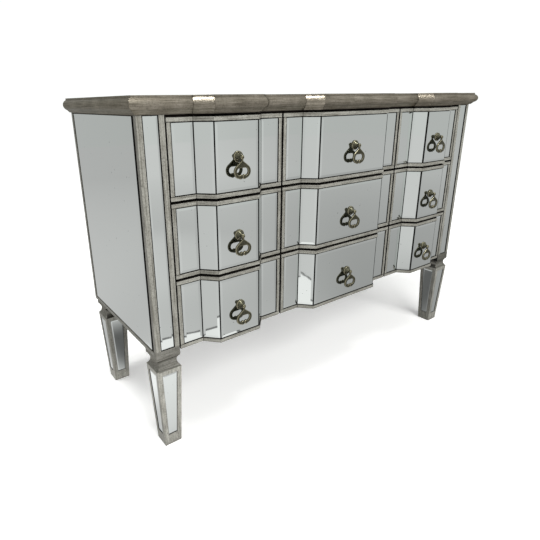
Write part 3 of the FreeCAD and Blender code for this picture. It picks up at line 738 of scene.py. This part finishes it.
def leg(bm, x, y):
    seat_low, collar, neck = LEG_PANE_LOW - STILE, (COLLAR / 2, COLLAR_Z), (NECK / 2, NECK_Z)
    levels = [(leg_width(seat_low) / 2, seat_low), collar]
    levels += hollow(neck, collar)[-2::-1] + hollow(neck, (RIM / 2, LEG_HEIGHT))[1:]
    made = bmesh.ops.create_grid(bm, x_segments=1, y_segments=1, size=FOOT / 2)["verts"]
    top, half, height = made[0].link_faces[0], FOOT / 2, 0.0
    seats = []
    for next_half, next_height in levels:
        pulled = bmesh.ops.extrude_face_region(bm, geom=[top])["geom"]
        if height:
            bmesh.ops.delete(bm, geom=[top], context="FACES_ONLY")
        verts, top = only(BMVert, pulled), only(BMFace, pulled)[0]
        bmesh.ops.scale(bm, verts=verts, vec=(next_half / half, next_half / half, 1))
        bmesh.ops.translate(bm, verts=verts, vec=(0, 0, next_height - height))
        if next_height == COLLAR_Z:
            seats = list({face for vert in verts for face in vert.link_faces if face is not top})
        half, height = next_half, next_height
        for face in {face for vert in verts for face in vert.link_faces}:
            face.material_index = SECOND if next_height > COLLAR_Z else MAIN
    bmesh.ops.inset_individual(bm, faces=seats, thickness=STILE, use_even_offset=True)
    sink = LEG_PANE + LEG_RECESS
    walls = bmesh.ops.inset_individual(bm, faces=seats, thickness=0.0, depth=-sink)["faces"]
    # The seats and walls behind the panes are painted near black, a painted shade in the recesses.
    for face in walls + seats:
        face.material_index = DARK
    verts = [vert for vert in bm.verts if not vert.tag]
    for vert in verts:
        vert.tag = True
    bmesh.ops.recalc_face_normals(bm, faces=list({face for vert in verts for face in vert.link_faces}))
    edges = {edge for vert in verts for edge in vert.link_edges}
    bmesh.ops.translate(bm, verts=verts, vec=(x, y, 0))
    hard = [edge for edge in edges if edge.is_convex and edge.calc_face_angle(0) > SMOOTH_ANGLE]
    soften(bm, hard, LEG_SOFT_EDGE)
    for vert in bm.verts:
        vert.tag = True


def leg_pane(bm, x, y, quarter):
    corners = []
    for side, up in ((-1, LEG_PANE_LOW), (1, LEG_PANE_LOW), (1, LEG_PANE_HIGH), (-1, LEG_PANE_HIGH)):
        half = leg_width(up) / 2 - STILE - LEG_GAP
        up += LEG_GAP if up == LEG_PANE_LOW else -LEG_GAP
        corners.append(Vector((side * half, -FOOT / 2 - up * math.sin(lean) + LEG_RECESS * math.cos(lean),
                               up * math.cos(lean) + LEG_RECESS * math.sin(lean))))
    turn = Matrix.Translation((x, y, 0)) @ Matrix.Rotation(quarter * math.pi / 2, 4, "Z")
    ground_pane(bm, [turn @ corner for corner in corners], STRIP_GROUND, LEG_PANE)


def legs():
    wood, glass = bmesh.new(), bmesh.new()
    for x, y in leg_feet:
        leg(wood, x, y)
        for quarter in range(4):
            leg_pane(glass, x, y, quarter)
    materials = [pale_leaf, grey_leaf, painted_shade_black]
    return (finish("tapered_legs", wood, materials, "carcass", ["legs"]),
            finish_glass("leg_bevelled_mirrors", glass, "carcass", "leg_mirrors"))


print("legs", [len(piece.data.polygons) for piece in legs()])

# %% [markdown]
# The pulls are cast brass: a turned knob and a ring that hangs under its tip. Casting and
# polishing round every edge. The frame's solid is copied, its loose triangles are merged,
# and a fine voxel remesh with a little smoothing rounds all of it, as the polishing wheel does.

# %% Pulls
MERGE, CAST_VOXEL, POLISH_SHARE, POLISH_PASSES = 0.01 * MM, 0.3 * MM, 0.5, 4


def cast(name, node, body):
    bm = bmesh.new()
    bm.from_mesh(frame["nodes"][node].data)
    bmesh.ops.remove_doubles(bm, verts=bm.verts, dist=MERGE)
    made = finish(name, bm, [brass], body, [node], flat=True)
    remesh = made.modifiers.new("cast", "REMESH")
    remesh.mode = "VOXEL"
    remesh.voxel_size = CAST_VOXEL
    remesh.use_smooth_shade = True
    polish = made.modifiers.new("polish", "SMOOTH")
    polish.factor, polish.iterations = POLISH_SHARE, POLISH_PASSES
    return made


knobs = [cast(name + "_turned_knob", name + "_knob", name + "_drawer") for name in DRAWERS]
rings = [cast(name + "_cast_ring", name + "_ring", name + "_pull") for name in DRAWERS]
print("pulls", len(knobs), "knobs and", len(rings), "rings")

# %% [markdown]
# The chest stands on white paper. To the camera the paper is white everywhere, so the chest
# has a white page round it and only a soft shadow under it. The panes see more of the room
# than the camera does, and a mirror looks like whatever it mirrors. So the floor and the
# surround show another face to mirrored rays: a pale room that is duller to the left, to the
# right and behind, a sheet of paper that ends in front of the left drawers with a painted
# shadow along its edge and painted shade where it nears the chest, two painted pools of light
# on the floor, and a painted shadow under the chest. All of these are levels that fade with
# place, so one function fades a level.

# %% Floor
FLOOR_REACH = 8.0
WHITE, BLACK = linear("#f6f6f4"), linear("#000000")
# The level of the mirrored room, of the page, and of the painted shadow under the chest.
ROOM, PAGE, PAINTED_SHADOW_LEVEL = 0.7, 0.75, 0.13
PAPER_LEFT, PAPER_RIGHT, PAPER_OUT = -0.955, -0.165, 0.41
PAPER_SLANT, CREASE_DEPTH, PAPER_EDGE = -0.2, 0.03, 0.005
# Width and share of the painted shadow along the paper's edge.
EDGE_SHADOW_WIDTH, EDGE_SHADOW_SHARE = 0.014, 0.65
# The middle of each painted pool of light, the distances where it starts to fade and ends, and its gain
PAINTED_LIGHT_POOLS = (((0, -1.5, 0), (0.25, 0.75), 0.09), ((-0.69, 0.13, 0), (0.05, 0.22), 0.42))


def faded(tree, level, *fades):
    """Multiplies a level by shares that change smoothly with a value: the value, where the change
    starts and ends, and the share before and after it."""
    for value, (start, end), (before, after) in fades:
        share = add(tree, "ShaderNodeMapRange", {"Value": value, "From Min": start, "From Max": end,
                                                 "To Min": before, "To Max": after},
                    interpolation_type="SMOOTHSTEP")
        level = add(tree, "ShaderNodeMath", {0: level, 1: share}, operation="MULTIPLY")
    return level


def room_level(tree, place):
    """Light from the room by its bearing: brightest in front, less to the left, right and behind."""
    flat = add(tree, "ShaderNodeVectorMath", {0: place, 1: (1, 1, 0)}, operation="MULTIPLY")
    unit = add(tree, "ShaderNodeVectorMath", {0: flat}, operation="NORMALIZE")
    east, north = (add(tree, "ShaderNodeSeparateXYZ", {"Vector": unit}, output=axis) for axis in "XY")
    up = add(tree, "ShaderNodeSeparateXYZ", {"Vector": place}, output="Z")
    right = faded(tree, 1.0, (up, (0.1, 0.5), (0.78, 1)))
    return faded(tree, ROOM, (east, (-0.95, -0.6), (0.9, 1)), (east, (0.35, 0.75), (1, right)),
                 (north, (-0.2, 0.6), (1, 0.72)))


bm = bmesh.new()
bmesh.ops.create_grid(bm, x_segments=1, y_segments=1, size=FLOOR_REACH)
floor_mesh = bpy.data.meshes.new("floor")
bm.to_mesh(floor_mesh)
bm.free()
floor = bpy.data.objects.new("floor", floor_mesh)
scene.collection.objects.link(floor)
paper, tree, place = start_material("white_paper")
floor_mesh.materials.append(paper)
mirrored, direct, scattered = (add(tree, "ShaderNodeLightPath", output="Is " + kind + " Ray")
                               for kind in ("Glossy", "Camera", "Diffuse"))
reach = add(tree, "ShaderNodeVectorMath", {0: place}, output="Value", operation="LENGTH")
x, y = (add(tree, "ShaderNodeSeparateXYZ", {"Vector": place}, output=axis) for axis in "XY")
near = faded(tree, 1.0, (x, (-0.9, 0.5), (1, 0.68)), (y, (front_y, front_y + 0.4), (1, 1.25)))
distance = add(tree, "ShaderNodeMapRange", {"Value": reach, "From Min": 0.6, "From Max": 4.5, "To Min": near})
room = add(tree, "ShaderNodeMath", {0: room_level(tree, place), 1: distance}, operation="MULTIPLY")
creases = add(tree, "ShaderNodeTexNoise", {"Vector": place, "Scale": per(70), "Detail": 1.0})
wavy = add(tree, "ShaderNodeMath", {0: creases, 1: CREASE_DEPTH, 2: y}, operation="MULTIPLY_ADD")
slanted = add(tree, "ShaderNodeMath", {0: x, 1: PAPER_SLANT, 2: wavy}, operation="MULTIPLY_ADD")


def sheet_share(full, grow):
    """The full share on the sheet of paper, grown by a margin, and none beside it."""
    left, right, front = PAPER_LEFT - grow, PAPER_RIGHT + grow, front_y - PAPER_OUT - grow
    return faded(tree, full, (slanted, (front, front + PAPER_EDGE), (0, 1)),
                 (x, (right, right - PAPER_EDGE), (0, 1)), (x, (left, left + PAPER_EDGE), (0, 1)))


# The paper seen in mirrors is painted darker towards the chest, a painted shade.
sheet_with_painted_shade = faded(tree, 1.0, (y, (front_y - 0.4, front_y + 0.25), (1, 0.64)))
# A painted shadow along the paper's edge.
edge_shadowed = add(tree, "ShaderNodeMix", {"Factor": sheet_share(EDGE_SHADOW_SHARE, EDGE_SHADOW_WIDTH), "A": room, "B": 0.0})
laid = add(tree, "ShaderNodeMix", {"Factor": sheet_share(1.0, 0.0), "A": edge_shadowed, "B": sheet_with_painted_shade})
far = faded(tree, 1.0, (y, (front_y + 0.2, front_y + 0.5), (0, 1)))
covered = add(tree, "ShaderNodeMix", {"Factor": far, "A": laid, "B": room})
# Two painted pools of light on the floor seen in mirrors.
for spot, span, gain in PAINTED_LIGHT_POOLS:
    away = add(tree, "ShaderNodeVectorMath", {0: place, 1: spot}, output="Value", operation="DISTANCE")
    painted_light_pool = faded(tree, gain, (away, span, (1, 0)))
    covered = add(tree, "ShaderNodeMath", {0: covered, 1: painted_light_pool}, operation="ADD")
# A painted shadow under the chest, seen in mirrors.
across, along = (add(tree, "ShaderNodeMath", {0: axis}, operation="ABSOLUTE") for axis in (x, y))
painted_shadow_share = faded(tree, 1.0, (across, (0.5, 0.65), (1, 0)), (along, (0.05, 0.25), (1, 0)))
shown = add(tree, "ShaderNodeMix", {"Factor": painted_shadow_share, "A": covered, "B": PAINTED_SHADOW_LEVEL})
glow = add(tree, "ShaderNodeMath", {0: mirrored, 1: shown}, operation="MULTIPLY")
white = faded(tree, PAGE, (reach, (0.8, 3.0), (0.4, 1)))
lift = add(tree, "ShaderNodeMath", {0: direct, 1: white, 2: glow}, operation="MULTIPLY_ADD")
dull = add(tree, "ShaderNodeMath", {0: scattered, 1: 0.7, 2: mirrored}, operation="MULTIPLY_ADD")
base = add(tree, "ShaderNodeMix", {"Factor": dull, "A": WHITE, "B": BLACK}, data_type="RGBA")
shade(tree, {"Base Color": base, "Emission Color": (1, 1, 1, 1), "Emission Strength": lift, "Roughness": 0.9,
             "Specular IOR Level": 0.0})
print("floor", floor.dimensions[:])

# %% [markdown]
# Plain soft light. Two softboxes hang high over the chest, turned so that the canted lengths of
# the moulding glint, and a broad weak one in front fills the shadows, unseen by the mirrors. The
# surround is even and pale. It meets the floor without a line, because mirrored rays see the
# same levels in both.

# %% World and lamps
AMBIENT, PAGE_LEVEL = 0.3, 1.05
LAMP_HEIGHT, LAMP_TURN = 2.9, math.radians(-26)
world = bpy.data.worlds.new("studio")
scene.world = world
world.use_nodes = True
tree = world.node_tree
tree.nodes.clear()
direct, mirrored = (add(tree, "ShaderNodeLightPath", output="Is " + kind + " Ray")
                    for kind in ("Camera", "Glossy"))
room = room_level(tree, add(tree, "ShaderNodeTexCoord", output="Generated"))
lit = add(tree, "ShaderNodeMix", {"Factor": mirrored, "A": AMBIENT, "B": room})
level = add(tree, "ShaderNodeMix", {"Factor": direct, "A": lit, "B": PAGE_LEVEL})
surround = add(tree, "ShaderNodeBackground", {"Color": linear("#fdfffe"), "Strength": level})
add(tree, "ShaderNodeOutputWorld", {"Surface": surround})


def softbox(name, spot, target, size, power, turn=0.0):
    lamp = bpy.data.lights.new(name, "AREA")
    lamp.shape = "RECTANGLE"
    lamp.size, lamp.size_y = size
    lamp.energy = power
    holder = bpy.data.objects.new(name, lamp)
    scene.collection.objects.link(holder)
    holder.location = spot
    holder.rotation_mode = "QUATERNION"
    aim = (Vector(target) - Vector(spot)).to_track_quat("-Z", "Y")
    holder.rotation_quaternion = aim @ Quaternion((0, 0, 1), turn)
    return holder


key = softbox("key", (-0.66, 0.14, LAMP_HEIGHT), (-0.66, 0.14, 0), (1.5, 0.5), 85, LAMP_TURN)
small_key = softbox("small_key", (0, -0.98, LAMP_HEIGHT), (0, -0.98, 0), (0.4, 0.4), 10, LAMP_TURN)
fill = softbox("fill", (0.1, -2.6, 2.0), (0, 0, 0.4), (2.4, 1.6), 95)
fill.visible_glossy = False
print("lamps", [lamp.data.energy for lamp in (key, small_key, fill)], "W")
